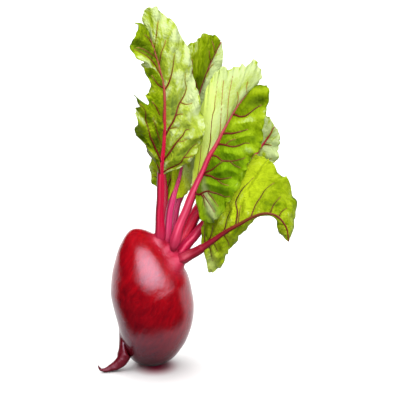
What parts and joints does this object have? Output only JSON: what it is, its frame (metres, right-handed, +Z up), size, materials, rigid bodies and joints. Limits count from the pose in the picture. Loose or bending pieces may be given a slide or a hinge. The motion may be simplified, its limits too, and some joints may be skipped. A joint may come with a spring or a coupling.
{
  "type": "beetroot",
  "caption": "Beetroot as pulled, with its leaves on: an oval crimson bulb with a curled tap root, red stalks and waved, red-veined green blades, resting on the foot of its bulb",
  "frame": {"origin": "middle of the small flat spot on the foot of the bulb, which rests on the ground plane z = 0", "axes": "+Z up along the object's height, +X toward the side that the leaves lean to, -Y the side that the tap root's tip and the leaves' faces point to"},
  "size_m": [0.1594, 0.0708, 0.2919],
  "materials": {
    "skin": "smooth, moist crimson skin",
    "stalk": "smooth, glossy crimson stalk and veins",
    "blade": "puckered, softly glossy yellow-green leaf"
  },
  "bodies": {
    "root": {"root": "skin", "stalk_tall_left": "stalk", "blade_tall_left": "blade", "stalk_tall_middle": "stalk", "blade_tall_middle": "blade", "stalk_large_right": "stalk", "blade_large_right": "blade", "stalk_back_right": "stalk", "blade_back_right": "blade", "stalk_low_right": "stalk", "blade_low_right": "blade", "stalk_centre": "stalk", "blade_centre": "blade", "stalk_young": "stalk", "blade_young": "blade", "stalk_back_left": "stalk", "blade_back_left": "blade"}
  },
  "joints": []
}
